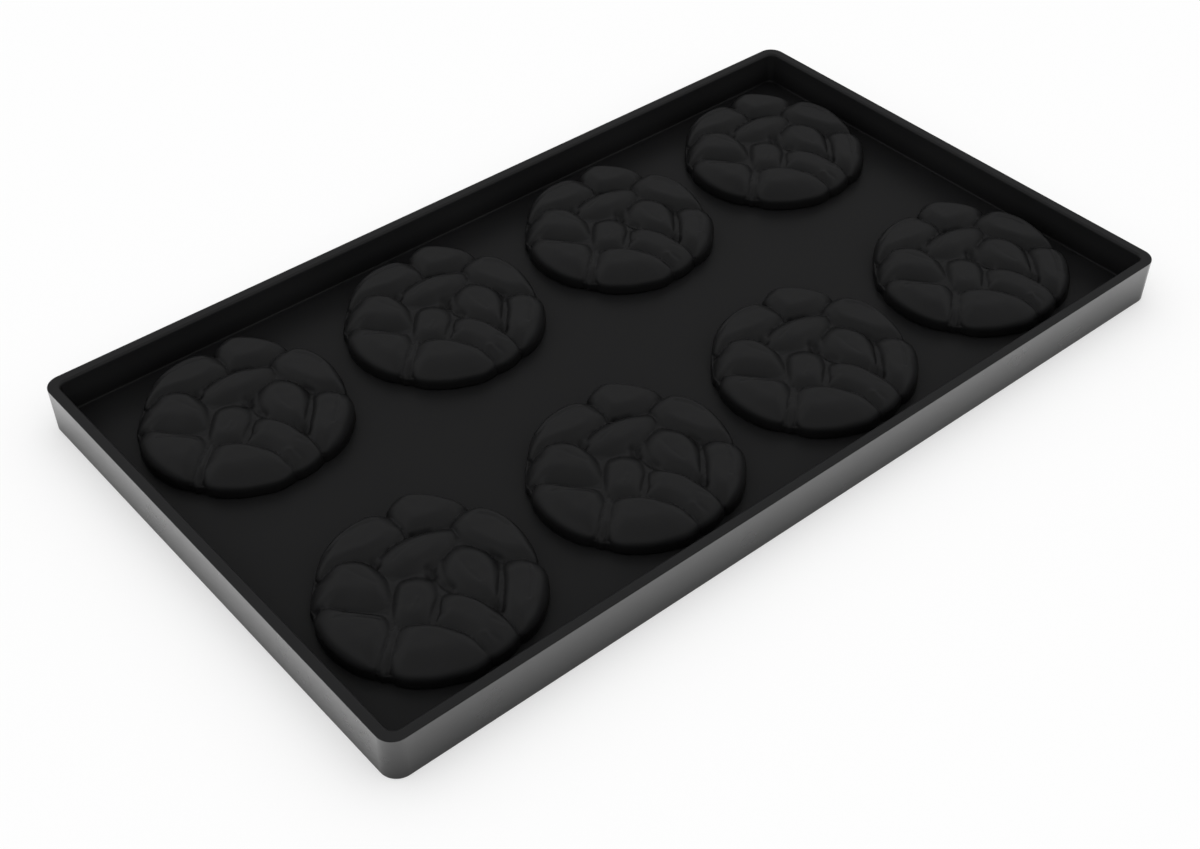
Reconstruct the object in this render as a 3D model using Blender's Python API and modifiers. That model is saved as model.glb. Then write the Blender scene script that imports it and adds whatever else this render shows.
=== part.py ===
# Walnut cookie mold: a shallow black tray with eight raised nut patterns standing in it.
# Each pattern is a solid of its own. It sits on the tray's floor and is held by two countersunk
# screws that come up through the floor, so that it can't lift or turn.
# Lengths are in metres. The origin is on the underside, at the middle of the tray.
# X runs along the long side, Y along the short side, Z is up.

import math

import bmesh
import bpy
from mathutils import Matrix, Vector

# Tray
TRAY_LENGTH = 0.300
TRAY_WIDTH = 0.175
TRAY_HEIGHT = 0.015
WALL_THICKNESS = 0.0035
WALL_DRAFT = 0.00026  # the outer walls stand this much further in at the bottom
FLOOR_THICKNESS = 0.0035
OUTER_CORNER_RADIUS = 0.0052
INNER_CORNER_RADIUS = 0.0025
RIM_OUTER_ROUND = 0.0003
RIM_INNER_ROUND = 0.0009
FLOOR_FILLET = 0.0006  # where the inner walls meet the floor

# Layout of the patterns: two rows of four, set off from the walls and from each other
COLUMNS = 4
ROWS = 2
END_GAP = 0.0064  # end wall to the reach of the nearest pattern
SIDE_GAP = 0.0072  # long wall to the reach of the nearest pattern
NEIGHBOUR_GAP = 0.0094  # between the reaches of two patterns in a row

# Pattern
PATTERN_HEIGHT = 0.0076
BASE_HEIGHT = 0.0028  # the low disc that shows between the nuts at the outline
BASE_REACH_SHARE = 0.95

# Screws: M3 countersunk with a hexagon socket
SCREW_RADIUS = 0.0015
SCREW_LENGTH = 0.0080
SCREW_HEAD_RADIUS = 0.00275
SCREW_HEAD_EDGE = 0.0004
SCREW_RECESS = 0.0003  # how far the head's face lies inside the underside
SCREW_POINT_CHAMFER = 0.0004
SOCKET_RADIUS = 0.00115
SOCKET_DEPTH = 0.0010
SCREW_BEARINGS = (150.0, -22.0)  # degrees, of the two screws round a pattern's middle
SCREW_REACH_SHARE = 0.50  # of the pattern's reach

# Clearances
FIT_GAP = 0.0003  # between pieces that touch
THREAD_RUNOUT = 0.0006  # left under a screw's point
OVERRUN = 0.0010  # how far every cut runs past the face that it cuts

# Facets
CORNER_STEPS = 6
FILLET_STEPS = 2
RIM_STEPS = 3
NUT_SIDES = 16
NUT_RINGS = 3
BASE_SIDES = 32
TURNED_SIDES = 16
SOCKET_SIDES = 6

# The forms of one pattern. Places and plan sizes are shares of the pattern's reach, heights are
# shares of its height: across, along, shoulder height, half length, half width, top, turn in degrees.
NUT_SHARES = {
    "ground": (0.02, 0.02, 0.13, 0.87, 0.87, 0.68, 0),
    "outer_back": (-0.03, 0.78, 0.36, 0.31, 0.22, 0.97, -8),
    "outer_back_tail": (-0.40, 0.77, 0.30, 0.27, 0.10, 0.80, 28),
    "outer_back_right": (0.51, 0.71, 0.38, 0.35, 0.26, 0.98, -36),
    "outer_right": (0.80, 0.09, 0.38, 0.44, 0.23, 0.95, -78),
    "outer_front_right": (0.58, -0.61, 0.36, 0.41, 0.21, 0.93, 47),
    "outer_front": (0.07, -0.58, 0.32, 0.39, 0.21, 0.93, -74),
    "outer_front_left": (-0.38, -0.63, 0.32, 0.40, 0.26, 0.95, -42),
    "outer_left": (-0.77, -0.07, 0.34, 0.38, 0.23, 0.94, -79),
    "outer_back_left": (-0.50, 0.37, 0.34, 0.37, 0.28, 1.00, -63),
    "inner_back": (0.16, 0.33, 0.45, 0.40, 0.21, 0.98, -4),
    "inner_right": (0.37, -0.17, 0.45, 0.37, 0.23, 0.98, 81),
    "middle": (-0.19, -0.12, 0.45, 0.31, 0.21, 0.92, 46),
    "sliver_right": (0.10, -0.08, 0.45, 0.13, 0.05, 0.76, -86),
    "sliver_left": (-0.62, -0.35, 0.45, 0.26, 0.04, 0.78, 38),
}
NUT_FLATNESS = 2.8  # exponent of a form's cross-section: 2 is an ellipse, more is flatter on top

BLACK_GLOSS = (0.010, 0.010, 0.011, 1.0)
BLACK_SATIN = (0.012, 0.012, 0.013, 1.0)
ZINC_STEEL = (0.55, 0.56, 0.58, 1.0)

# Sizes that follow from the ones above
INNER_LENGTH = TRAY_LENGTH - 2 * WALL_THICKNESS
INNER_WIDTH = TRAY_WIDTH - 2 * WALL_THICKNESS
PATTERN_REACH = (INNER_LENGTH - 2 * END_GAP - (COLUMNS - 1) * NEIGHBOUR_GAP) / (2 * COLUMNS)
COLUMN_PITCH = 2 * PATTERN_REACH + NEIGHBOUR_GAP
ROW_PITCH = (INNER_WIDTH - 2 * SIDE_GAP - 2 * PATTERN_REACH) / (ROWS - 1)
SEAT_HEIGHT = FLOOR_THICKNESS + FIT_GAP
SCREW_TIP_HEIGHT = SCREW_RECESS + SCREW_LENGTH


def clear_scene():
    for old in list(bpy.data.objects):
        bpy.data.objects.remove(old, do_unlink=True)


def new_collection(name):
    collection = bpy.data.collections.new(name)
    bpy.context.scene.collection.children.link(collection)
    return collection


def make_material(name, colour, roughness, metallic=0.0):
    material = bpy.data.materials.new(name)
    material.use_nodes = True
    shader = material.node_tree.nodes["Principled BSDF"]
    shader.inputs["Base Color"].default_value = colour
    shader.inputs["Roughness"].default_value = roughness
    shader.inputs["Metallic"].default_value = metallic
    return material


def object_from_bmesh(bm, name, collection):
    bmesh.ops.recalc_face_normals(bm, faces=bm.faces)
    mesh = bpy.data.meshes.new(name)
    bm.to_mesh(mesh)
    bm.free()
    piece = bpy.data.objects.new(name, mesh)
    collection.objects.link(piece)
    return piece


def hide_cutter(piece):
    piece.hide_render = True
    piece.display_type = "WIRE"
    return piece


def add_boolean(piece, name, operation, other):
    modifier = piece.modifiers.new(name, "BOOLEAN")
    modifier.operation = operation
    modifier.solver = "EXACT"
    if isinstance(other, bpy.types.Collection):
        modifier.operand_type = "COLLECTION"
        modifier.collection = other
    else:
        modifier.object = other
    return modifier


def evaluated_mesh(piece, name):
    """The mesh of a piece with its modifiers, as one new mesh."""
    graph = bpy.context.evaluated_depsgraph_get()
    mesh = bpy.data.meshes.new_from_object(piece.evaluated_get(graph))
    mesh.name = name
    return mesh


def round_upright_edges(bm, radius):
    """Rounds the four upright edges of a block."""
    upright = [
        edge
        for edge in bm.edges
        if abs((edge.verts[0].co - edge.verts[1].co).normalized().z) > math.cos(math.radians(45))
    ]
    bmesh.ops.bevel(bm, geom=upright, offset=radius, segments=CORNER_STEPS, profile=0.5, affect="EDGES")


def block(length, width, bottom, top, foot_inset=0.0):
    """A block between two heights. Its foot may be smaller all round than its top."""
    bm = bmesh.new()
    bmesh.ops.create_cube(bm, size=1.0)
    for vert in bm.verts:
        inset = foot_inset if vert.co.z < 0 else 0.0
        vert.co.x = math.copysign(length / 2 - inset, vert.co.x)
        vert.co.y = math.copysign(width / 2 - inset, vert.co.y)
        vert.co.z = bottom if vert.co.z < 0 else top
    return bm


def edges_round_face(bm, height):
    """The outline edges of the flat face at a height."""
    flat = [f for f in bm.faces if all(abs(v.co.z - height) < FIT_GAP / 10 for v in f.verts)]
    return [e for f in flat for e in f.edges if any(other not in flat for other in e.link_faces)]


def turned(name, profile, collection, sides=TURNED_SIDES):
    """A solid of revolution about Z from a profile of (radius, height) points, top to bottom."""
    mesh = bpy.data.meshes.new(name)
    points = [(radius, 0.0, height) for radius, height in profile]
    edges = [(i, i + 1) for i in range(len(points) - 1)]
    mesh.from_pydata(points, edges, [])
    piece = bpy.data.objects.new(name, mesh)
    collection.objects.link(piece)
    screw = piece.modifiers.new("turn", "SCREW")
    screw.steps = sides
    screw.render_steps = sides
    screw.use_merge_vertices = True
    screw.merge_threshold = FIT_GAP / 100
    return piece


def build_tray(parts, cutters, screw_places, material):
    outside = block(TRAY_LENGTH, TRAY_WIDTH, 0.0, TRAY_HEIGHT, WALL_DRAFT)
    round_upright_edges(outside, OUTER_CORNER_RADIUS)
    rims = edges_round_face(outside, 0.0) + edges_round_face(outside, TRAY_HEIGHT)
    bmesh.ops.bevel(outside, geom=rims, offset=RIM_OUTER_ROUND, segments=1, affect="EDGES")
    tray = object_from_bmesh(outside, "mould_tray", parts)

    hollow = block(INNER_LENGTH, INNER_WIDTH, FLOOR_THICKNESS, TRAY_HEIGHT + OVERRUN)
    round_upright_edges(hollow, INNER_CORNER_RADIUS)
    foot = edges_round_face(hollow, FLOOR_THICKNESS)
    bmesh.ops.bevel(hollow, geom=foot, offset=FLOOR_FILLET, segments=FILLET_STEPS, profile=0.5, affect="EDGES")
    hollow_cutter = hide_cutter(object_from_bmesh(hollow, "tray_hollow", cutters))
    add_boolean(tray, "hollow", "DIFFERENCE", hollow_cutter)
    round_mouth(tray)

    # clearance holes with countersinks, cut from below
    holes = new_collection("tray_hole_cutters")
    shank = SCREW_RADIUS + FIT_GAP
    head = SCREW_HEAD_RADIUS + FIT_GAP
    cone_foot = SCREW_RECESS + SCREW_HEAD_EDGE + FIT_GAP
    profile = (
        (0.0, FLOOR_THICKNESS + OVERRUN),
        (shank, FLOOR_THICKNESS + OVERRUN),
        (shank, cone_foot + head - shank),
        (head, cone_foot),
        (head, -OVERRUN),
        (0.0, -OVERRUN),
    )
    for number, place in enumerate(screw_places, start=1):
        hole = hide_cutter(turned("tray_hole_%d" % number, profile, holes))
        hole.location = (place.x, place.y, 0.0)

    add_boolean(tray, "screw_holes", "DIFFERENCE", holes)
    tray.data.materials.append(material)
    return tray


def round_mouth(tray):
    """Rounds the rim's inner edge, which is there once the hollow is cut."""
    shell = bmesh.new()
    shell.from_mesh(evaluated_mesh(tray, "tray_shell"))
    mouth = []
    for edge in edges_round_face(shell, TRAY_HEIGHT):
        middle = (edge.verts[0].co + edge.verts[1].co) / 2
        if abs(middle.x) < INNER_LENGTH / 2 + FIT_GAP and abs(middle.y) < INNER_WIDTH / 2 + FIT_GAP:
            mouth.append(edge)
    bmesh.ops.bevel(shell, geom=mouth, offset=RIM_INNER_ROUND, segments=RIM_STEPS, profile=0.5, affect="EDGES")
    tray.modifiers.clear()
    shell.to_mesh(tray.data)
    shell.free()


def nut_form(name, shares, collection):
    """One nut: a dome on an upright oval skirt that runs down through the pattern's seat."""
    across, along, shoulder, half_length, half_width, top, turn = shares
    bm = bmesh.new()
    bmesh.ops.create_uvsphere(bm, u_segments=NUT_SIDES, v_segments=2 * NUT_RINGS, radius=1.0)
    shoulder_height = shoulder * PATTERN_HEIGHT
    rise = top * PATTERN_HEIGHT - shoulder_height
    for vert in bm.verts:
        reach = math.hypot(vert.co.x, vert.co.y)
        if vert.co.z < -FIT_GAP:
            stretch = 1.0 / reach if reach > FIT_GAP else 0.0
            vert.co = Vector((vert.co.x * stretch, vert.co.y * stretch, -OVERRUN))
        else:
            dome = max(0.0, 1.0 - reach**NUT_FLATNESS) ** 0.5
            vert.co.z = shoulder_height + rise * dome
    bmesh.ops.remove_doubles(bm, verts=bm.verts, dist=FIT_GAP / 1000)
    size = Matrix.Diagonal((half_length * PATTERN_REACH, half_width * PATTERN_REACH, 1.0, 1.0))
    spin = Matrix.Rotation(math.radians(turn), 4, "Z")
    place = Matrix.Translation((across * PATTERN_REACH, along * PATTERN_REACH, 0.0))
    bmesh.ops.transform(bm, matrix=place @ spin @ size, verts=bm.verts)
    return hide_cutter(object_from_bmesh(bm, name, collection))


def screw_offsets():
    """Where the two screws of a pattern stand, from the pattern's middle."""
    reach = SCREW_REACH_SHARE * PATTERN_REACH
    return [
        Vector((reach * math.cos(math.radians(b)), reach * math.sin(math.radians(b)), 0.0)) for b in SCREW_BEARINGS
    ]


def cut_seat(mesh):
    """Cuts a mesh flat at Z = 0, the seat of a pattern."""
    bm = bmesh.new()
    bm.from_mesh(mesh)
    bmesh.ops.bisect_plane(
        bm,
        geom=bm.verts[:] + bm.edges[:] + bm.faces[:],
        dist=FIT_GAP / 1000,
        plane_co=(0.0, 0.0, 0.0),
        plane_no=(0.0, 0.0, 1.0),
        clear_inner=True,
    )
    bmesh.ops.holes_fill(bm, edges=[edge for edge in bm.edges if edge.is_boundary])
    bmesh.ops.triangulate(bm, faces=bm.faces[:])
    bm.to_mesh(mesh)
    bm.free()


def build_pattern_mesh(parts, cutters, material):
    """The shared mesh of the eight patterns, standing on its seat at Z = 0."""
    nuts = new_collection("nut_forms")
    for name, shares in NUT_SHARES.items():
        nut_form(name, shares, nuts)

    disc = bmesh.new()
    bmesh.ops.create_cone(
        disc,
        cap_ends=True,
        segments=BASE_SIDES,
        radius1=BASE_REACH_SHARE * PATTERN_REACH,
        radius2=BASE_REACH_SHARE * PATTERN_REACH,
        depth=BASE_HEIGHT + OVERRUN,
    )
    bmesh.ops.translate(disc, verts=disc.verts, vec=(0.0, 0.0, (BASE_HEIGHT - OVERRUN) / 2))
    pattern = object_from_bmesh(disc, "pattern_master", parts)

    holes = new_collection("pattern_hole_cutters")
    radius = SCREW_RADIUS + FIT_GAP
    depth = SCREW_TIP_HEIGHT - SEAT_HEIGHT + THREAD_RUNOUT
    profile = ((0.0, depth), (radius, depth), (radius, -OVERRUN), (0.0, -OVERRUN))
    for number, offset in enumerate(screw_offsets(), start=1):
        hole = hide_cutter(turned("pattern_hole_%d" % number, profile, holes))
        hole.location = offset

    add_boolean(pattern, "nuts", "UNION", nuts)
    joined = evaluated_mesh(pattern, "joined_nuts")
    cut_seat(joined)
    pattern.modifiers.clear()
    pattern.data = joined
    add_boolean(pattern, "screw_holes", "DIFFERENCE", holes)
    mesh = evaluated_mesh(pattern, "nut_pattern")
    bpy.data.objects.remove(pattern, do_unlink=True)
    mesh.shade_smooth()
    mesh.set_sharp_from_angle(angle=math.radians(35))
    mesh.materials.append(material)
    return mesh


def build_screw_mesh(parts, cutters, material):
    """The shared mesh of the screws, head down, with the head's face at Z = 0."""
    shoulder = SCREW_HEAD_EDGE + SCREW_HEAD_RADIUS - SCREW_RADIUS
    tip = SCREW_RADIUS - SCREW_POINT_CHAMFER
    profile = (
        (0.0, SCREW_LENGTH),
        (tip, SCREW_LENGTH),
        (SCREW_RADIUS, SCREW_LENGTH - SCREW_POINT_CHAMFER),
        (SCREW_RADIUS, shoulder),
        (SCREW_HEAD_RADIUS, SCREW_HEAD_EDGE),
        (SCREW_HEAD_RADIUS, 0.0),
        (0.0, 0.0),
    )
    screw = turned("screw_master", profile, parts)
    socket = bmesh.new()
    bmesh.ops.create_cone(
        socket,
        cap_ends=True,
        segments=SOCKET_SIDES,
        radius1=SOCKET_RADIUS,
        radius2=SOCKET_RADIUS,
        depth=SOCKET_DEPTH + OVERRUN,
    )
    bmesh.ops.translate(socket, verts=socket.verts, vec=(0.0, 0.0, (SOCKET_DEPTH - OVERRUN) / 2))
    socket_cutter = hide_cutter(object_from_bmesh(socket, "screw_socket", cutters))
    add_boolean(screw, "socket", "DIFFERENCE", socket_cutter)
    mesh = evaluated_mesh(screw, "pattern_screw")
    bpy.data.objects.remove(screw, do_unlink=True)
    mesh.shade_smooth()
    mesh.set_sharp_from_angle(angle=math.radians(35))
    mesh.materials.append(material)
    return mesh


def pattern_places():
    """Name endings and middles of the patterns, front row first, left to right."""
    places = []
    for row in range(ROWS):
        row_name = ("front", "back")[row] if ROWS == 2 else "row%d" % (row + 1)
        for column in range(COLUMNS):
            x = (column - (COLUMNS - 1) / 2) * COLUMN_PITCH
            y = (row - (ROWS - 1) / 2) * ROW_PITCH
            places.append(("%s_%d" % (row_name, column + 1), Vector((x, y, 0.0))))
    return places


def main():
    clear_scene()
    parts = new_collection("walnut_cookie_mold")
    cutters = new_collection("cutters")
    black_gloss = make_material("tray_black", BLACK_GLOSS, 0.35)
    black_satin = make_material("pattern_black", BLACK_SATIN, 0.40)
    zinc_steel = make_material("screw_steel", ZINC_STEEL, 0.35, 1.0)

    places = pattern_places()
    screw_places = [middle + offset for _, middle in places for offset in screw_offsets()]
    build_tray(parts, cutters, screw_places, black_gloss)

    pattern_mesh = build_pattern_mesh(parts, cutters, black_satin)
    screw_mesh = build_screw_mesh(parts, cutters, zinc_steel)
    for ending, middle in places:
        pattern = bpy.data.objects.new("nut_pattern_" + ending, pattern_mesh)
        pattern.location = middle + Vector((0.0, 0.0, SEAT_HEIGHT))
        parts.objects.link(pattern)
        for letter, offset in zip("ab", screw_offsets()):
            screw = bpy.data.objects.new("pattern_screw_%s%s" % (ending, letter), screw_mesh)
            screw.location = middle + offset + Vector((0.0, 0.0, SCREW_RECESS))
            parts.objects.link(screw)


main()
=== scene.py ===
import math

import bmesh
import bpy
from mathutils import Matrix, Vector, noise


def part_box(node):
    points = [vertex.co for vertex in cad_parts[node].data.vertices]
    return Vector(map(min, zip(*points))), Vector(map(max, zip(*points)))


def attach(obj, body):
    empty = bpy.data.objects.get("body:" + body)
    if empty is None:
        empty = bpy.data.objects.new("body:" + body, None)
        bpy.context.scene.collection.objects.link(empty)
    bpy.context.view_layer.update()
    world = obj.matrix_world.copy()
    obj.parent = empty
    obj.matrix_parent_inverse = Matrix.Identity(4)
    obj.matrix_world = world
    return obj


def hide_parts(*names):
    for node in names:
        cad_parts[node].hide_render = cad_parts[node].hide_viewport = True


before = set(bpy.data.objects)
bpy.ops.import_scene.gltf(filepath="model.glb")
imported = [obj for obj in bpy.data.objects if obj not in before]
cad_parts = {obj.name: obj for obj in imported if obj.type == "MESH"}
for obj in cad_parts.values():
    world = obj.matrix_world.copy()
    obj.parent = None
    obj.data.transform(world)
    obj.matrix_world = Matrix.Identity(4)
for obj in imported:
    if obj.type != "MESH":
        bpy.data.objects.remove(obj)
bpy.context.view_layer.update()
bpy.context.scene.view_settings.view_transform = "Standard"
print("frame loaded")


# working habits: selecting by place or normal, applying what is finished

mm = 0.001
limits = {
    "level": 0.5,  # a face looks up or down when its normal rises or falls by more than this
    "steep": 0.7,  # and stands steep when it does so by less than this
    "upright": 0.9,  # an upright edge rises by more than this share of its length
    "sameHeight": 0.00002,
    "equator": 0.0001,  # on a sphere of radius 1
    "pole": 0.001,
    "tiny": 1e-9,  # keeps a sum from dividing by zero
}


def grab(piece):
    # makes this the only selected object, and the active one
    bpy.ops.object.select_all(action="DESELECT")
    piece.select_set(True)
    bpy.context.view_layer.objects.active = piece
    return piece


def pick(piece, kind, wanted):
    # edit mode: selects the faces, edges or verts for which wanted() is true
    bpy.ops.mesh.select_mode(type=kind)
    bpy.ops.mesh.select_all(action="DESELECT")
    mesh = bmesh.from_edit_mesh(piece.data)
    items = {"FACE": mesh.faces, "EDGE": mesh.edges, "VERT": mesh.verts}[kind]
    for item in items:
        if wanted(item):
            item.select_set(True)
    mesh.select_flush_mode()
    bmesh.update_edit_mesh(piece.data)


def applyPlace(piece):
    grab(piece)
    bpy.ops.object.transform_apply(location=True, rotation=True, scale=True)


def applyAll(piece):
    grab(piece)
    for modifier in list(piece.modifiers):
        bpy.ops.object.modifier_apply(modifier=modifier.name)


def cutAway(piece, cutter):
    modifier = piece.modifiers.new("cut", "BOOLEAN")
    modifier.operation = "DIFFERENCE"
    modifier.solver = "EXACT"
    modifier.object = cutter
    applyAll(piece)
    bpy.data.objects.remove(cutter, do_unlink=True)


def midpoint(edge):
    return (edge.verts[0].co + edge.verts[1].co) / 2


def isUpright(edge):
    run = edge.verts[0].co - edge.verts[1].co
    return abs(run.z) > limits["upright"] * run.length


def looksUp(face):
    return face.normal.z > limits["level"]


def looksDown(face):
    return face.normal.z < -limits["level"]


def isSteep(face):
    return abs(face.normal.z) < limits["steep"]


def outlineAt(height):
    # a test for the edges round a flat face at this height
    def wanted(edge):
        flat = all(abs(vert.co.z - height) < limits["sameHeight"] for vert in edge.verts)
        return flat and any(isSteep(face) for face in edge.link_faces)
    return wanted


def addCopy(master, name, place):
    copy = master.copy()
    copy.data = master.data.copy()
    copy.name = name
    copy.location = place
    bpy.context.scene.collection.objects.link(copy)
    applyPlace(copy)
    return copy


# camera

cameraSetup = {
    "place": (-0.2806, -0.3178, 0.3504),
    "lookAt": (-0.0262, -0.0197, 0.0),
    "lens": 52.97,  # in mm, as the sensor
    "sensor": 36.0,
    "sees": (0.01, 20.0),
}


def addCamera(setup):
    bpy.ops.object.camera_add(location=setup["place"])
    camera = bpy.context.object
    camera.name = "camera"
    camera.data.lens = setup["lens"]
    camera.data.sensor_width = setup["sensor"]
    look = Vector(setup["lookAt"]) - Vector(setup["place"])
    camera.rotation_euler = look.to_track_quat("-Z", "Y").to_euler()
    camera.data.clip_start, camera.data.clip_end = setup["sees"]
    bpy.context.scene.camera = camera


addCamera(cameraSetup)


# materials

def newMaterial(name):
    material = bpy.data.materials.new(name)
    material.use_nodes = True
    nodes = material.node_tree.nodes
    return material, nodes, material.node_tree.links, nodes["Principled BSDF"]


def addMath(nodes, links, operation, source, value=0.0):
    # one sum on a socket, and a second number where the sum takes one
    node = nodes.new("ShaderNodeMath")
    node.operation = operation
    links.new(source, node.inputs[0])
    node.inputs[1].default_value = value
    return node.outputs[0]


def addNoise(nodes, links, place, scale, detail):
    cloud = nodes.new("ShaderNodeTexNoise")
    cloud.inputs["Scale"].default_value = scale
    cloud.inputs["Detail"].default_value = detail
    links.new(place.outputs["Object"], cloud.inputs["Vector"])
    return cloud.outputs["Fac"]


def addRange(nodes, links, source, low, high):
    # stretches a value between 0 and 1 to between low and high
    stretch = nodes.new("ShaderNodeMapRange")
    stretch.inputs["To Min"].default_value = low
    stretch.inputs["To Max"].default_value = high
    links.new(source, stretch.inputs["Value"])
    return stretch.outputs["Result"]


coatLook = {
    # tints by height above the worktop: floor, walls, rim; this is painted shade and light, with the deep
    # floor darker and the walls lighter for how light reaches them
    "tintsAndPaintedShade": (
        (0.0036, (0.0098, 0.0098, 0.0103)),
        (0.0100, (0.0200, 0.0200, 0.0207)),
        (0.0150, (0.0160, 0.0160, 0.0167)),
    ),
    "mottle": 0.10,  # share by which the colour comes and goes
    "mottleScale": 60.0,  # per metre
    "mottleDetail": 4.0,
    "roughness": (0.34, 0.42),
    "grainScale": 2600.0,
    "grainDetail": 2.0,
    "grainHeight": 0.000012,
    "grainStrength": 0.25,
    "paintedShadeReach": 0.020,  # painted shade: how far round a place its shelter is looked for, to darken the colour where it is sheltered
    "paintedShadePower": 0.35,
    "paintedShadeSamples": 12,
}
outsideLook = {
    "tintsAndPaintedShade": ((0.0, (0.0060, 0.0060, 0.0063)), (0.0150, (0.0060, 0.0060, 0.0063))),
    "mottle": 0.10,
    "mottleScale": 60.0,
    "mottleDetail": 4.0,
    "roughness": (0.26, 0.30),
    "grainScale": 2600.0,
    "grainDetail": 2.0,
    "grainHeight": 0.000008,
    "grainStrength": 0.25,
    "polishFrom": 0.0010,  # dull at the foot, and glossier towards the rim
    "polishTo": 0.0145,
    "polishRoughness": 0.22,
}
# the patterns' coat: painted shade, darker towards the seat, and painted shade in the grooves over a
# shorter reach
patternLook = dict(
    coatLook,
    tintsAndPaintedShade=((0.0050, (0.0070, 0.0070, 0.0074)), (0.0092, (0.0137, 0.0137, 0.0142))),
    paintedShadeReach=0.006,
    paintedShadePower=0.7,
)


def makeCoat(name, look):
    # satin black coat: a faint mottle in colour and gloss over a fine grain, with painted shade by height
    # and in hollows where the look asks for it
    material, nodes, links, shader = newMaterial(name)
    place = nodes.new("ShaderNodeTexCoord")
    apart = nodes.new("ShaderNodeSeparateXYZ")
    links.new(place.outputs["Object"], apart.inputs[0])
    mottle = addNoise(nodes, links, place, look["mottleScale"], look["mottleDetail"])

    # painted shade and light: the colour follows the height wherever the tints by height differ
    level = nodes.new("ShaderNodeMapRange")
    level.inputs["From Max"].default_value = look["tintsAndPaintedShade"][-1][0]
    links.new(apart.outputs["Z"], level.inputs["Value"])
    tintAndShade = nodes.new("ShaderNodeValToRGB")
    while len(tintAndShade.color_ramp.elements) < len(look["tintsAndPaintedShade"]):
        tintAndShade.color_ramp.elements.new(0.5)
    for stop, (height, colour) in zip(tintAndShade.color_ramp.elements, look["tintsAndPaintedShade"]):
        stop.position = height / look["tintsAndPaintedShade"][-1][0]
        stop.color = (*colour, 1.0)
    links.new(level.outputs["Result"], tintAndShade.inputs["Fac"])
    mottleAndShade = addRange(nodes, links, mottle, 1.0 - look["mottle"], 1.0 + look["mottle"])
    if "paintedShadeReach" in look:
        # painted shade: darker where the surface lies deep between others, where shade falls
        paintedShade = nodes.new("ShaderNodeAmbientOcclusion")
        paintedShade.samples = look["paintedShadeSamples"]
        paintedShade.inputs["Distance"].default_value = look["paintedShadeReach"]
        depth = addMath(nodes, links, "POWER", paintedShade.outputs["AO"], look["paintedShadePower"])
        both = nodes.new("ShaderNodeMath")
        both.operation = "MULTIPLY"
        links.new(mottleAndShade, both.inputs[0])
        links.new(depth, both.inputs[1])
        mottleAndShade = both.outputs[0]
    shade = nodes.new("ShaderNodeVectorMath")
    shade.operation = "SCALE"
    links.new(tintAndShade.outputs["Color"], shade.inputs[0])
    links.new(mottleAndShade, shade.inputs["Scale"])
    links.new(shade.outputs[0], shader.inputs["Base Color"])
    links.new(addRange(nodes, links, mottle, *look["roughness"]), shader.inputs["Roughness"])
    if "polishFrom" in look:
        polish = nodes.new("ShaderNodeMapRange")
        polish.inputs["From Min"].default_value = look["polishFrom"]
        polish.inputs["From Max"].default_value = look["polishTo"]
        links.new(apart.outputs["Z"], polish.inputs["Value"])
        links.new(polish.outputs["Result"], shader.inputs["Coat Weight"])
        shader.inputs["Coat Roughness"].default_value = look["polishRoughness"]

    bump = nodes.new("ShaderNodeBump")
    bump.inputs["Strength"].default_value = look["grainStrength"]
    bump.inputs["Distance"].default_value = look["grainHeight"]
    links.new(addNoise(nodes, links, place, look["grainScale"], look["grainDetail"]), bump.inputs["Height"])
    links.new(bump.outputs["Normal"], shader.inputs["Normal"])
    return material


insideCoat = makeCoat("insideCoat", coatLook)
outsideCoat = makeCoat("outsideCoat", outsideLook)
patternCoat = makeCoat("patternCoat", patternLook)
print("materials made")


# tray

traySizes = {
    "length": 0.300,
    "width": 0.175,
    "height": 0.015,
    "wall": 0.0035,
    "draft": 0.00026,
    "floor": 0.0035,
    "outerCorner": 0.0052,
    "innerCorner": 0.0025,
    "rimOuterRound": 0.0003,
    "rimInnerRound": 0.0009,
    "floorFillet": 0.0006,
    "cornerSegments": 16,
    "rimSegments": 6,
    "filletSegments": 5,
    "edgeSegments": 3,
    "smoothAngle": 35.0,  # in degrees
    "holeHead": 0.00305,  # radius of a screw hole at its mouth, and at its shank
    "holeShank": 0.0018,
    "holeHeadDepth": 0.0010,
    "holeSides": 48,
    "runPast": 0.0010,  # how far a cut runs past the face that it cuts
}

# the holes in the floor lie where the CAD model has its screws
screwPlaces = []
for nodeName in sorted(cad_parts):
    if nodeName.startswith("pattern_screw"):
        screwLow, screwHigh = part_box(nodeName)
        screwPlaces.append((screwLow + screwHigh) / 2)


def drawOn(height, scale):
    # draws the picked end face on upwards, and wider or narrower
    bpy.ops.mesh.extrude_region_move(TRANSFORM_OT_translate={"value": (0.0, 0.0, height)})
    if scale != 1.0:
        bpy.ops.transform.resize(value=(scale, scale, 1.0), center_override=(0.0, 0.0, 0.0))


def addDrill(sizes):
    # the shape of a screw's clearance hole: head, countersink and shank
    bpy.ops.object.select_all(action="DESELECT")
    tall = sizes["holeHeadDepth"] + sizes["runPast"]
    middle = (sizes["holeHeadDepth"] - sizes["runPast"]) / 2
    bpy.ops.mesh.primitive_cylinder_add(
        vertices=sizes["holeSides"],
        radius=sizes["holeHead"],
        depth=tall,
        location=(0.0, 0.0, middle),
    )
    drill = bpy.context.object
    applyPlace(drill)
    bpy.ops.object.mode_set(mode="EDIT")
    pick(drill, "FACE", looksUp)
    cone = sizes["holeHead"] - sizes["holeShank"]
    drawOn(cone, sizes["holeShank"] / sizes["holeHead"])
    drawOn(sizes["floor"] + sizes["runPast"] - sizes["holeHeadDepth"] - cone, 1.0)
    bpy.ops.object.mode_set(mode="OBJECT")
    return drill


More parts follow.
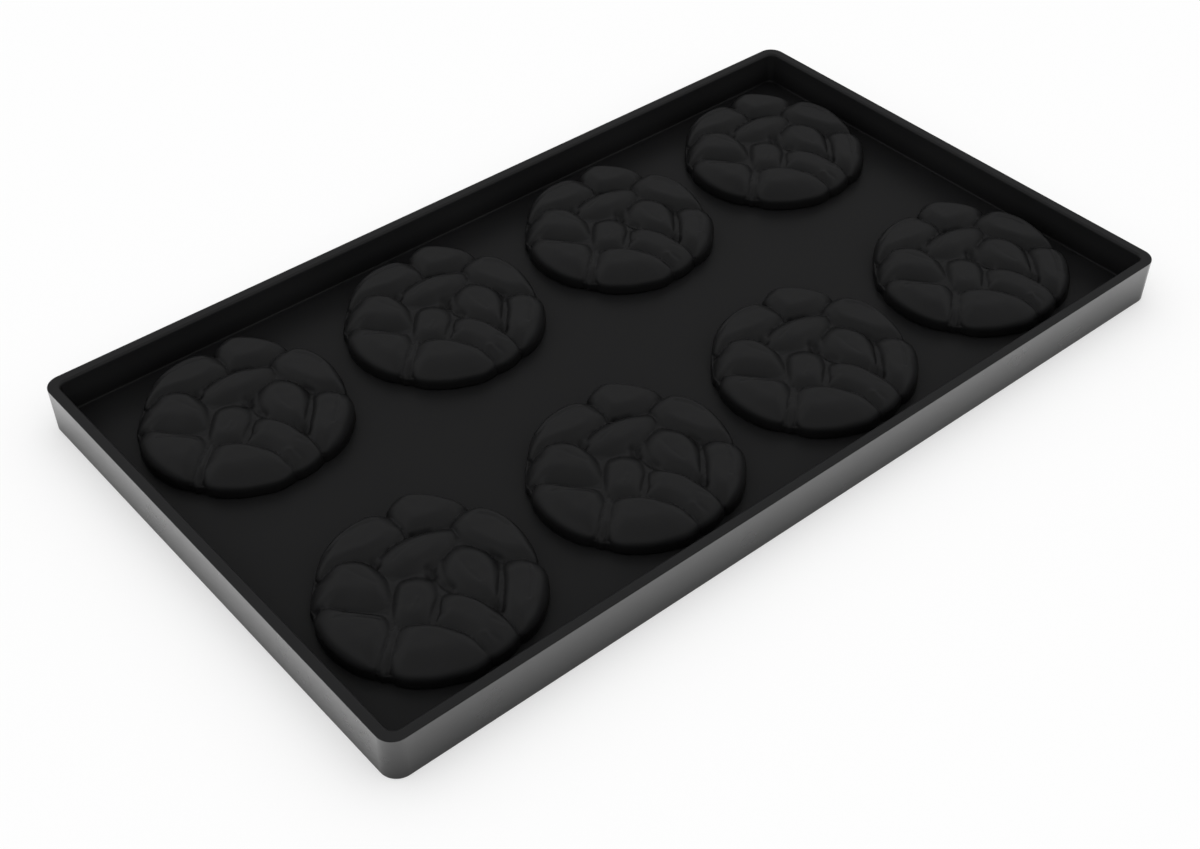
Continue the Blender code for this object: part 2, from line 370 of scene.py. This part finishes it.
def buildTray(sizes):
    bpy.ops.object.select_all(action="DESELECT")
    bpy.ops.mesh.primitive_cube_add(size=1.0, location=(0.0, 0.0, sizes["height"] / 2))
    tray = bpy.context.object
    tray.name = "tray"
    tray.scale = (sizes["length"], sizes["width"], sizes["height"])
    applyPlace(tray)
    bpy.ops.object.mode_set(mode="EDIT")
    pick(tray, "FACE", looksDown)
    narrow = (1 - 2 * sizes["draft"] / sizes["length"], 1 - 2 * sizes["draft"] / sizes["width"], 1.0)
    bpy.ops.transform.resize(value=narrow)
    pick(tray, "EDGE", isUpright)
    bpy.ops.mesh.bevel(offset=sizes["outerCorner"], segments=sizes["cornerSegments"], affect="EDGES")
    bpy.ops.object.mode_set(mode="OBJECT")

    # the hollow: round corners and a fillet at the floor
    bpy.ops.object.select_all(action="DESELECT")
    top = sizes["height"] + sizes["floor"]
    middle = (top + sizes["floor"]) / 2
    bpy.ops.mesh.primitive_cube_add(size=1.0, location=(0.0, 0.0, middle))
    hollow = bpy.context.object
    tall = top - sizes["floor"]
    hollow.scale = (sizes["length"] - 2 * sizes["wall"], sizes["width"] - 2 * sizes["wall"], tall)
    applyPlace(hollow)
    bpy.ops.object.mode_set(mode="EDIT")
    pick(hollow, "EDGE", isUpright)
    bpy.ops.mesh.bevel(offset=sizes["innerCorner"], segments=sizes["cornerSegments"], affect="EDGES")
    pick(hollow, "EDGE", outlineAt(sizes["floor"]))
    bpy.ops.mesh.bevel(offset=sizes["floorFillet"], segments=sizes["filletSegments"], affect="EDGES")
    bpy.ops.object.mode_set(mode="OBJECT")
    cutAway(tray, hollow)

    # clearance holes with countersinks for the screws, from below
    drill = addDrill(sizes)
    for place in screwPlaces:
        hole = drill.copy()
        hole.data = drill.data.copy()
        hole.location = (place.x, place.y, 0.0)
        bpy.context.scene.collection.objects.link(hole)
        cutAway(tray, hole)
    bpy.data.objects.remove(drill, do_unlink=True)

    # rounded edges: the mouth first, then the outside of the rim and the foot
    insideX = sizes["length"] / 2 - sizes["wall"] / 2
    insideY = sizes["width"] / 2 - sizes["wall"] / 2
    atRim = outlineAt(sizes["height"])

    def isMouth(edge):
        point = midpoint(edge)
        return atRim(edge) and abs(point.x) < insideX and abs(point.y) < insideY

    def isOuterRim(edge):
        point = midpoint(edge)
        return atRim(edge) and (abs(point.x) > insideX or abs(point.y) > insideY)

    grab(tray)
    bpy.ops.object.mode_set(mode="EDIT")
    pick(tray, "EDGE", isMouth)
    bpy.ops.mesh.bevel(offset=sizes["rimInnerRound"], segments=sizes["rimSegments"], affect="EDGES")
    pick(tray, "EDGE", isOuterRim)
    bpy.ops.mesh.bevel(offset=sizes["rimOuterRound"], segments=sizes["edgeSegments"], affect="EDGES")
    pick(tray, "EDGE", outlineAt(0.0))
    bpy.ops.mesh.bevel(offset=sizes["rimOuterRound"], segments=sizes["edgeSegments"], affect="EDGES")
    bpy.ops.object.mode_set(mode="OBJECT")
    return tray


tray = buildTray(traySizes)
grab(tray)
bpy.ops.object.shade_smooth_by_angle(angle=math.radians(traySizes["smoothAngle"]))
weighted = tray.modifiers.new("flats", "WEIGHTED_NORMAL")
weighted.keep_sharp = True
applyAll(tray)
# the outside of the walls has its own coat: one plain dark colour, without the painted shade and light by
# height of the inside coat
tray.data.materials.clear()
tray.data.materials.append(insideCoat)
tray.data.materials.append(outsideCoat)
for face in tray.data.polygons:
    beyond = abs(face.center.x) > traySizes["length"] / 2 - traySizes["outerCorner"] / 2
    beyond = beyond or abs(face.center.y) > traySizes["width"] / 2 - traySizes["outerCorner"] / 2
    outwards = face.normal.x * face.center.x / traySizes["length"]
    outwards += face.normal.y * face.center.y / traySizes["width"]
    face.material_index = 1 if isSteep(face) and outwards > 0 and beyond else 0
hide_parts("mould_tray")
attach(tray, "root")
print("tray made")


# nut patterns

patternSizes = {
    "height": 0.0076,
    "middleFromCorner": (0.03170, 0.03011),  # from the low corner of a pattern's box
    "baseReach": 0.0303,  # a low disc under everything
    "baseHeight": 0.0028,
    "baseRound": 0.0004,
    "baseFlatness": 30.0,
    "groundReach": 0.0298,  # a flat dome that shows between the nuts
    "groundShoulder": 0.0010,
    "groundHeight": 0.0053,
    "groundFlatness": 6.0,
    "flare": 0.01,  # share by which a form widens from its edge down to its seat
    "below": 0.0010,  # how far everything runs on under the seat before it is cut flat
    "rimFall": 0.6,  # power by which a form falls off to the rim, as a round dome
    "innerFall": 0.95,  # and to its neighbours, as a straighter slope
    "shoulderPower": 1.8,
    "innerEdge": 0.70,  # height of a form's edge between its neighbours, in shares of the height
    "overlap": 0.0003,  # how far a form runs in under its neighbours
    "rimStarts": 0.0268,  # from here outwards the overlap fades, and ends at the rim
    "rimEnds": 0.0296,
    "segments": 96,
    "rings": 32,
    "voxel": 0.00038,
    "softening": 6,
    "softenFactor": 0.5,
    "grooveDepth": 0.00034,
    "grooveWidth": 0.0009,
    "beyondDrop": 0.02,  # how fast a form's height falls off beyond its edge, for the grooves alone
    "crown": 0.0005,  # how far the tops drop from the middle of the pattern to its reach
    "unevenness": 0.00007,
    "unevennessScale": 300.0,
    "lineReach": 0.020,  # no line presses farther than this from its first place
    "lineFade": 3.0,  # nor farther to its side than this many widths
    "holeRadius": 0.0018,
    "holeDepth": 0.0051,
    "holeSides": 48,
}
# lines pressed into the forms, the hollows before the surface is softened and the creases after it:
# depth and width in mm (a depth below 0 is a small bump), then the places that they run through
hollows = (
    (1.3, 1.5, ((3, 1.6), (4.4, 3.6))),
    (0.7, 1.1, ((3.6, 1), (3.6, -3))),
    (0.9, 1.2, ((3.8, -4.6), (4, -5.6))),
    (0.5, 1.1, ((20.2, -2.2), (20.8, -5.2))),
    (1.4, 1.2, ((9.6, -17), (9.7, -19.4))),
    (1.2, 1.0, ((-6.2, 13.8), (-6.4, 15.8))),
    (0.8, 0.9, ((6.9, 17.4), (7.8, 17))),
    (0.8, 0.8, ((7.8, 17), (10, 16.3), (12.6, 15.2))),
)
creases = (
    (-0.16, 0.60, ((25.4, -13), (22.4, -18.6), (18, -23.6))),
    (0.34, 0.60, ((24, -14.4), (20.8, -19), (17.2, -22.6))),
    (0.24, 0.55, ((-25.4, 4.4), (-20.8, 1), (-17, -3.2))),
    (0.20, 0.60, ((-13.6, 25.6), (-8, 27.2), (-2, 27.4), (3, 26.4))),
    (0.18, 0.70, ((25.8, 10), (28.2, 6.4), (29, 1.6))),
    (0.10, 0.50, ((-14.4, 18), (-13, 13), (-11, 7))),
    (0.10, 0.50, ((-2, 11.6), (4, 12.6), (11, 12))),
    (0.10, 0.50, ((11.4, 1), (10.4, -5), (10.6, -10))),
    (0.25, 0.80, ((-1, -26.2), (-0.2, -28))),
    (0.20, 0.65, ((1.8, -25.6), (2.6, -28))),
    (0.16, 0.60, ((5.2, -22.4), (6.6, -25))),
    (-0.30, 0.90, ((0.2, -24.4), (0.9, -25))),
    (-0.14, 0.60, ((-5.6, -4.4), (-8, -6))),
)
# height of the edge at the rim and of the top in shares of the pattern's height, share of the form
# that its flat top takes up, then the middle of that top and the outline in mm from the pattern's middle
nutForms = {
    "outerBack": (0.42, 1.01, 0.55, (-4, 24.6), (
        (-20.6, 21), (-16, 26.4), (-11, 29.4), (-5.2, 31), (0, 31.3), (4, 30.6), (6.9, 28.4), (7.2, 24),
        (6.6, 19.4), (2, 17.4), (-3, 17.2), (-7, 17.8), (-10.5, 19), (-15, 19.6),
    )),
    "outerBackRight": (0.44, 1.02, 0.50, (16.2, 24), (
        (7.6, 28.6), (10.2, 30.8), (13.4, 31.8), (16.8, 30.6), (20.8, 26.8), (25, 20.8), (26.4, 16),
        (21.6, 14.4), (16.6, 14.4), (11.6, 16), (8, 18), (7.2, 21),
    )),
    "outerRight": (0.44, 1.00, 0.60, (26, 4.6), (
        (18.5, 12.5), (21.6, 14.6), (26.4, 15.4), (30, 12.4), (32, 6.8), (32.4, 1.8), (31.8, -3.6),
        (30.4, -8.6), (28, -12.4), (23.8, -9), (21.6, -6), (19.6, -0.5), (18, 4.5), (17.4, 8.5),
    )),
    "outerFrontRight": (0.44, 0.97, 0.50, (19, -17.4), (
        (19.5, -8.8), (23.2, -8.2), (26.8, -10.4), (28.4, -14.4), (26.8, -18.8), (22.6, -23.4), (17.8, -27),
        (12.8, -29), (9.2, -29), (8.9, -24.3), (10, -20.5), (13.5, -16.5), (16.5, -13),
    )),
    "outerFront": (0.44, 0.98, 0.40, (3.4, -15), (
        (-1.5, -8.1), (1.5, -6.9), (4, -8.9), (6.5, -13.4), (8, -18.5), (8.6, -23.3), (8.8, -28.6),
        (6, -30.2), (2.6, -30.8), (-0.8, -30.5), (-1.8, -28), (-2.6, -24), (-3.6, -19.6),
        (-5.7, -14.8), (-5.8, -12.5), (-3.6, -10.9),
    )),
    "outerFrontLeft": (0.44, 1.00, 0.35, (-10.5, -16), (
        (-23.8, -17.6), (-19.4, -12.9), (-15, -9.3), (-12, -9.5), (-7, -13.6), (-3.5, -18.6), (-1.3, -23.5),
        (-0.8, -28.6), (-2.2, -30.5), (-7, -30.8), (-12, -29), (-17, -26.4), (-22.4, -21.8),
    )),
    "outerLeft": (0.46, 0.99, 0.35, (-21, -3), (
        (-25.6, 11), (-23.4, 8), (-18.5, 1.5), (-15.5, -2.5), (-15.8, -5.5), (-18.5, -9.5), (-22.2, -12.3),
        (-26, -14.6), (-28.4, -12.4), (-30.4, -7), (-31.2, -1), (-30.6, 4.8), (-29, 9.4),
    )),
    "outerBackLeft": (0.22, 1.03, 0.40, (-12.4, 11.4), (
        (-19, 20.6), (-15.5, 21.4), (-11.2, 20.2), (-8.6, 17.2), (-7.3, 13), (-7.4, 7.5), (-9, 3.5),
        (-11.4, 0.5), (-13.5, 0), (-16, 1.2), (-18.3, 3.4), (-22.2, 8.2), (-27.6, 12.6), (-25.4, 16.6),
        (-22.6, 19.4),
    )),
    "innerBack": (0.45, 0.99, 0.36, (6.4, 10.2), (
        (-5.5, 12.5), (-3.5, 14.9), (0.5, 16.4), (5.5, 16.4), (11.5, 14.8), (16.5, 12.2), (17.5, 10),
        (15.5, 7.5), (11.5, 5.3), (5.5, 4.6), (-0.5, 5.3), (-4.5, 7.5), (-5.8, 10.2),
    )),
    "innerRight": (0.45, 1.00, 0.50, (12.8, -4.8), (
        (12.5, 5), (15.4, 4.8), (18, 1.6), (19.2, -2.5), (18.2, -7.5), (14.5, -13.5), (10.5, -17.5),
        (8.5, -16.5), (6.8, -12.5), (5.2, -7.5), (5.2, -2.5), (6.8, 1.5), (9.5, 4),
    )),
    "middle": (0.45, 0.95, 0.48, (-6.4, -3.4), (
        (-13.5, -4.5), (-10, -0.1), (-6.5, 3.7), (-4, 4.2), (-0.4, 2.6), (1.5, -0.5), (1, -3.5),
        (-0.6, -6), (-3.5, -9), (-6.5, -11), (-9.5, -11), (-12.5, -9.3), (-14, -7),
    )),
    "ridgeLeft": (0.36, 0.76, 0.30, (-18.8, -10.8), (
        (-13.8, -6.4), (-15.4, -9.1), (-19.2, -12.4), (-23, -16.6), (-25.8, -16.8), (-25.8, -14.2),
        (-22.4, -12), (-18.4, -9.2),
    )),
    "ridgeFront": (0.45, 0.74, 0.30, (-3.8, -9.8), (
        (-0.5, -6.6), (-0.9, -8.3), (-3.5, -10.8), (-6.4, -13.1), (-7.2, -12.2), (-4.2, -9),
    )),
    "ridgeRight": (0.45, 0.76, 0.30, (13.8, -14.5), (
        (18.4, -8.9), (18.1, -10.3), (14.5, -14.9), (10.3, -20), (9.1, -19.6), (12.9, -14.1),
    )),
}


def closedCurve(points, steps=10):
    # a smooth closed line through the points
    line = []
    for number in range(len(points)):
        near = [(number + shift) % len(points) for shift in (-1, 0, 1, 2)]
        before, start, end, after = (Vector(points[spot]) for spot in near)
        bend = 2 * before - 5 * start + 4 * end - after
        turn = 3 * start - 3 * end + after - before
        for step in range(steps):
            share = step / steps
            line.append(0.5 * (2 * start + (end - before) * share + bend * share ** 2 + turn * share ** 3))
    return line


def edgeTable(form, sizes, parts=360):
    # for every degree round the crest: how far off the outline is, how high the edge is and how the
    # form falls to it
    rimEdge, _, _, crest, outline = form
    crest = Vector(crest) * mm
    rays = []
    for point in closedCurve(outline):
        place = point * mm
        inside = (sizes["rimEnds"] - place.length) / (sizes["rimEnds"] - sizes["rimStarts"])
        inside = min(1.0, max(0.0, inside))
        reach = (place - crest).length + sizes["overlap"] * inside
        edge = sizes["height"] * (rimEdge + (sizes["innerEdge"] - rimEdge) * inside)
        fall = sizes["rimFall"] + (sizes["innerFall"] - sizes["rimFall"]) * inside
        angle = math.atan2(place.y - crest.y, place.x - crest.x) % math.tau
        rays.append((angle, Vector((reach, edge, fall))))
    rays.sort(key=lambda ray: ray[0])
    rays = [(rays[-1][0] - math.tau, rays[-1][1])] + rays + [(rays[0][0] + math.tau, rays[0][1])]
    table = []
    spot = 0
    for part in range(parts):
        angle = part * math.tau / parts
        while rays[spot + 1][0] < angle:
            spot += 1
        (lastAngle, lastRay), (nextAngle, nextRay) = rays[spot], rays[spot + 1]
        share = (angle - lastAngle) / max(limits["tiny"], nextAngle - lastAngle)
        table.append(lastRay.lerp(nextRay, share))
    return table


def edgeAt(table, angle):
    # what the table says at an angle between two of its rows
    place = (angle % math.tau) / math.tau * len(table)
    low = int(place)
    return table[low % len(table)].lerp(table[(low + 1) % len(table)], place - low)


def riseAt(out, plateau, fall, sizes):
    # share of a form's rise, from its middle (out is 0) to its edge (out is 1)
    beyond = max(0.0, (min(1.0, out) - plateau) / (1.0 - plateau))
    return (1.0 - beyond ** sizes["shoulderPower"]) ** fall


def addForm(name, form, sizes):
    # a sphere: its upper half becomes the dome, its lower half the side down to the seat
    _, top, plateau, crest, _ = form
    table = edgeTable(form, sizes)
    bpy.ops.object.select_all(action="DESELECT")
    bpy.ops.mesh.primitive_uv_sphere_add(segments=sizes["segments"], ring_count=sizes["rings"], radius=1.0)
    lump = bpy.context.object
    lump.name = name
    for vert in lump.data.vertices:
        out = math.hypot(vert.co.x, vert.co.y)
        reach, widest, fall = edgeAt(table, math.atan2(vert.co.y, vert.co.x))
        if vert.co.z > limits["equator"]:
            share = out
            height = widest + (top * sizes["height"] - widest) * riseAt(out, plateau, fall, sizes)
        else:
            down = -min(0.0, vert.co.z)
            share = 1.0 + sizes["flare"] * down ** 2 if out > limits["pole"] else 0.0
            height = widest - (widest + sizes["below"]) * down
        direction = Vector((vert.co.x, vert.co.y, 0.0)) / max(out, limits["tiny"])
        vert.co = direction * reach * share
        vert.co.z = height
    lump.location = (crest[0] * mm, crest[1] * mm, 0.0)
    applyPlace(lump)
    return lump


def addDome(name, reach, shoulder, top, flatness, sizes):
    # a round dome or disc under all the forms
    bpy.ops.object.select_all(action="DESELECT")
    bpy.ops.mesh.primitive_uv_sphere_add(segments=sizes["segments"], ring_count=sizes["rings"], radius=1.0)
    dome = bpy.context.object
    dome.name = name
    for vert in dome.data.vertices:
        out = math.hypot(vert.co.x, vert.co.y)
        if vert.co.z > limits["equator"]:
            vert.co.z = shoulder + (top - shoulder) * math.sqrt(max(0.0, 1.0 - out ** flatness))
        else:
            stretch = 1.0 / out if out > limits["pole"] else 0.0
            down = -min(0.0, vert.co.z)
            height = shoulder - (shoulder + sizes["below"]) * down
            vert.co = Vector((vert.co.x * stretch, vert.co.y * stretch, height))
        vert.co.x *= reach
        vert.co.y *= reach
    return dome


def topAt(form, table, sizes, place):
    # height of one form over a place in the plan
    _, top, plateau, crest, _ = form
    across = place.x - crest[0] * mm
    along = place.y - crest[1] * mm
    reach, edge, fall = edgeAt(table, math.atan2(along, across))
    out = math.hypot(across, along) / reach
    if out >= 1.0:
        return edge - (out - 1.0) * sizes["beyondDrop"]
    return edge + (top * sizes["height"] - edge) * riseAt(out, plateau, fall, sizes)


def distanceTo(place, start, end):
    # from a place to the line between two others
    run = end - start
    share = min(1.0, max(0.0, (place - start).dot(run) / run.length_squared))
    return (place - start - run * share).length


def pressLines(pattern, sizes, lines):
    # each line sinks in softly to both sides
    for depth, width, places in lines:
        places = [Vector(place) * mm for place in places]
        for vert in pattern.data.vertices:
            place = vert.co.xy
            if vert.co.z < sizes["baseHeight"] or (place - places[0]).length > sizes["lineReach"]:
                continue
            away = min(distanceTo(place, *pair) for pair in zip(places, places[1:])) / (width * mm)
            if away < sizes["lineFade"]:
                vert.co.z -= depth * mm * math.exp(-away * away)


def carveGrooves(pattern, sizes, forms):
    # presses the surface down where two forms meet, and makes it a little uneven
    tables = {name: edgeTable(form, sizes) for name, form in forms.items()}
    for vert in pattern.data.vertices:
        if vert.co.z < sizes["baseHeight"]:
            continue
        heights = [topAt(form, tables[name], sizes, vert.co) for name, form in forms.items()]
        heights.sort(reverse=True)
        apart = (heights[0] - heights[1]) / sizes["grooveWidth"]
        press = sizes["grooveDepth"] * math.exp(-apart * apart)
        press += sizes["crown"] * (vert.co.xy.length / sizes["baseReach"]) ** 2
        press += sizes["unevenness"] * noise.noise(vert.co * sizes["unevennessScale"])
        vert.co.z -= press


def buildPattern(sizes, forms):
    lumps = [addForm(name, form, sizes) for name, form in forms.items()]
    ground = addDome(
        "ground",
        sizes["groundReach"],
        sizes["groundShoulder"],
        sizes["groundHeight"],
        sizes["groundFlatness"],
        sizes,
    )
    lumps.append(ground)
    pattern = addDome(
        "pattern",
        sizes["baseReach"],
        sizes["baseHeight"] - sizes["baseRound"],
        sizes["baseHeight"],
        sizes["baseFlatness"],
        sizes,
    )
    grab(pattern)
    for lump in lumps:
        lump.select_set(True)
    bpy.ops.object.join()
    applyPlace(pattern)
    remesh = pattern.modifiers.new("oneSkin", "REMESH")
    remesh.mode = "VOXEL"
    remesh.voxel_size = sizes["voxel"]
    applyAll(pattern)
    carveGrooves(pattern, sizes, forms)
    pressLines(pattern, sizes, hollows)
    soften = pattern.modifiers.new("soften", "SMOOTH")
    soften.factor = sizes["softenFactor"]
    soften.iterations = sizes["softening"]
    applyAll(pattern)
    pressLines(pattern, sizes, creases)

    # flat seat, with the two blind holes for the screws
    bpy.ops.object.mode_set(mode="EDIT")
    bpy.ops.mesh.select_all(action="SELECT")
    bpy.ops.mesh.bisect(plane_co=(0.0, 0.0, 0.0), plane_no=(0.0, 0.0, 1.0), use_fill=True, clear_inner=True)
    bpy.ops.object.mode_set(mode="OBJECT")
    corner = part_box("nut_pattern_front_1")[0]
    for letter in "ab":
        screwLow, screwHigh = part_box("pattern_screw_front_1" + letter)
        place = (screwLow + screwHigh) / 2 - corner
        bpy.ops.mesh.primitive_cylinder_add(
            vertices=sizes["holeSides"],
            radius=sizes["holeRadius"],
            depth=2 * sizes["holeDepth"],
            location=(place.x - sizes["middleFromCorner"][0], place.y - sizes["middleFromCorner"][1], 0.0),
        )
        cutAway(pattern, bpy.context.object)
    return pattern


patternMaster = buildPattern(patternSizes, nutForms)
print("pattern modelled:", len(patternMaster.data.polygons), "faces")
grab(patternMaster)
bpy.ops.object.shade_smooth()
patternMaster.data.materials.clear()
patternMaster.data.materials.append(patternCoat)

for row in ("front", "back"):
    for column in range(1, 5):
        node = "nut_pattern_%s_%d" % (row, column)
        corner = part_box(node)[0]
        place = corner + Vector((*patternSizes["middleFromCorner"], 0.0))
        copy = addCopy(patternMaster, "pattern_%s_%d" % (row, column), place)
        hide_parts(node)
        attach(copy, "root")
bpy.data.objects.remove(patternMaster, do_unlink=True)
print("patterns placed")


# screws

screwSizes = {
    "headRadius": 0.00275,
    "headEdge": 0.0004,
    "headRound": 0.00008,
    "roundSegments": 2,
    "sides": 48,
    "smoothAngle": 30.0,  # in degrees
    "shankRadius": 0.0015,
    "length": 0.0080,
    "threadPitch": 0.0005,
    "threadDepth": 0.00027,
    "threadShares": (0.40, 0.12, 0.40, 0.08),  # of the pitch: down, the root, up and the crest
    "pointChamfer": 0.0004,
    "socketRadius": 0.00115,
    "socketDepth": 0.0010,
    "colour": (0.55, 0.56, 0.58),
    "tone": (0.82, 1.08),
    "roughness": (0.24, 0.40),
    "blotchScale": 900.0,
    "blotchDetail": 5.0,
}


def makeSteel(look):
    # plain steel, blotched a little in colour and gloss
    material, nodes, links, shader = newMaterial("steel")
    place = nodes.new("ShaderNodeTexCoord")
    blotch = addNoise(nodes, links, place, look["blotchScale"], look["blotchDetail"])
    colour = nodes.new("ShaderNodeVectorMath")
    colour.operation = "SCALE"
    colour.inputs[0].default_value = look["colour"]
    links.new(addRange(nodes, links, blotch, *look["tone"]), colour.inputs["Scale"])
    links.new(colour.outputs[0], shader.inputs["Base Color"])
    links.new(addRange(nodes, links, blotch, *look["roughness"]), shader.inputs["Roughness"])
    shader.inputs["Metallic"].default_value = 1.0
    return material


def buildScrew(sizes):
    # head down: a disc, drawn on into the cone, the ringed shank and the point
    bpy.ops.object.select_all(action="DESELECT")
    bpy.ops.mesh.primitive_cylinder_add(
        vertices=sizes["sides"],
        radius=sizes["headRadius"],
        depth=sizes["headEdge"],
        location=(0.0, 0.0, sizes["headEdge"] / 2),
    )
    screw = bpy.context.object
    screw.name = "screw"
    applyPlace(screw)
    bpy.ops.object.mode_set(mode="EDIT")
    pick(screw, "FACE", looksUp)
    root = sizes["shankRadius"] - sizes["threadDepth"]
    inwards, outwards = root / sizes["shankRadius"], sizes["shankRadius"] / root
    cone = sizes["headRadius"] - sizes["shankRadius"]
    drawOn(cone, sizes["shankRadius"] / sizes["headRadius"])
    threaded = sizes["length"] - sizes["headEdge"] - cone - sizes["pointChamfer"]
    turns = int(threaded / sizes["threadPitch"])
    drawOn(threaded - turns * sizes["threadPitch"], 1.0)
    for turn in range(turns):
        for share, scale in zip(sizes["threadShares"], (inwards, 1.0, outwards, 1.0)):
            drawOn(sizes["threadPitch"] * share, scale)
    drawOn(sizes["pointChamfer"], (sizes["shankRadius"] - sizes["pointChamfer"]) / sizes["shankRadius"])
    pick(screw, "EDGE", outlineAt(0.0))
    bpy.ops.mesh.bevel(offset=sizes["headRound"], segments=sizes["roundSegments"], affect="EDGES")
    bpy.ops.object.mode_set(mode="OBJECT")

    # hex socket
    bpy.ops.mesh.primitive_cylinder_add(
        vertices=6,
        radius=sizes["socketRadius"],
        depth=2 * sizes["socketDepth"],
    )
    cutAway(screw, bpy.context.object)
    return screw


screwMaster = buildScrew(screwSizes)
grab(screwMaster)
bpy.ops.object.shade_smooth_by_angle(angle=math.radians(screwSizes["smoothAngle"]))
screwMaster.data.materials.clear()
screwMaster.data.materials.append(makeSteel(screwSizes))
for nodeName in sorted(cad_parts):
    if nodeName.startswith("pattern_screw"):
        screwLow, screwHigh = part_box(nodeName)
        place = (screwLow + screwHigh) / 2
        place.z = screwLow.z
        copy = addCopy(screwMaster, nodeName.replace("pattern_screw", "screw"), place)
        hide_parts(nodeName)
        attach(copy, "root")
bpy.data.objects.remove(screwMaster, do_unlink=True)
print("screws placed")


# floor, lights and surroundings

studio = {
    "floorColour": (0.95, 0.95, 0.95, 1.0),
    "floorSize": 12.0,
    "floorHeight": -0.00005,  # just under the tray, so that the two faces don't share a plane
    "floorGlow": 0.44,  # share of plain white in the floor that the camera sees
    "zenithLight": 1.55,  # the sky is brightest overhead and fades to the horizon
    "bandSeenInGloss": 0.185,  # gloss shows a soft bright band half way up the sky
    "bandMiddle": 0.52,  # as the sine of its elevation
    "bandReach": 0.55,
}


def addFloor(setup):
    bpy.ops.object.select_all(action="DESELECT")
    bpy.ops.mesh.primitive_plane_add(size=setup["floorSize"], location=(0.0, 0.0, setup["floorHeight"]))
    floor = bpy.context.object
    floor.name = "floor"
    material, nodes, links, shader = newMaterial("paleFloor")
    shader.inputs["Base Color"].default_value = setup["floorColour"]
    shader.inputs["Roughness"].default_value = 1.0
    shader.inputs["Specular IOR Level"].default_value = 0.0
    glow = nodes.new("ShaderNodeEmission")
    glow.inputs["Strength"].default_value = 1.0
    rays = nodes.new("ShaderNodeLightPath")
    share = addMath(nodes, links, "MULTIPLY", rays.outputs["Is Camera Ray"], setup["floorGlow"])
    blend = nodes.new("ShaderNodeMixShader")
    links.new(share, blend.inputs[0])
    links.new(shader.outputs[0], blend.inputs[1])
    links.new(glow.outputs[0], blend.inputs[2])
    links.new(blend.outputs[0], nodes["Material Output"].inputs["Surface"])
    floor.data.materials.append(material)


def addWhite(nodes):
    white = nodes.new("ShaderNodeBackground")
    white.inputs["Color"].default_value = (1.0, 1.0, 1.0, 1.0)
    return white


def addSky(setup):
    # three skies: a lit one, the band that gloss shows, and the plain white that the camera sees
    world = bpy.data.worlds.new("softSky")
    bpy.context.scene.world = world
    world.use_nodes = True
    world.cycles.sampling_method = "NONE"  # so gloss never picks up the lit sky
    nodes, links = world.node_tree.nodes, world.node_tree.links
    rays = nodes.new("ShaderNodeLightPath")
    direction = nodes.new("ShaderNodeTexCoord")
    apart = nodes.new("ShaderNodeSeparateXYZ")
    links.new(direction.outputs["Generated"], apart.inputs[0])
    light = nodes["Background"]
    light.inputs["Color"].default_value = (1.0, 1.0, 1.0, 1.0)
    overhead = addMath(nodes, links, "MULTIPLY", apart.outputs["Z"], setup["zenithLight"])
    links.new(addMath(nodes, links, "MAXIMUM", overhead), light.inputs["Strength"])

    glossy = addWhite(nodes)
    offset = addMath(nodes, links, "SUBTRACT", apart.outputs["Z"], setup["bandMiddle"])
    away = addMath(nodes, links, "ABSOLUTE", offset)
    band = nodes.new("ShaderNodeMapRange")
    band.interpolation_type = "SMOOTHSTEP"
    band.inputs["From Max"].default_value = setup["bandReach"]
    band.inputs["To Min"].default_value = setup["bandSeenInGloss"]
    band.inputs["To Max"].default_value = 0.0
    links.new(away, band.inputs["Value"])
    links.new(band.outputs["Result"], glossy.inputs["Strength"])

    inGloss = nodes.new("ShaderNodeMixShader")
    links.new(rays.outputs["Is Glossy Ray"], inGloss.inputs[0])
    links.new(light.outputs[0], inGloss.inputs[1])
    links.new(glossy.outputs[0], inGloss.inputs[2])
    seen = nodes.new("ShaderNodeMixShader")
    links.new(rays.outputs["Is Camera Ray"], seen.inputs[0])
    links.new(inGloss.outputs[0], seen.inputs[1])
    links.new(addWhite(nodes).outputs[0], seen.inputs[2])
    links.new(seen.outputs[0], nodes["World Output"].inputs["Surface"])


addFloor(studio)
addSky(studio)
print("studio set")
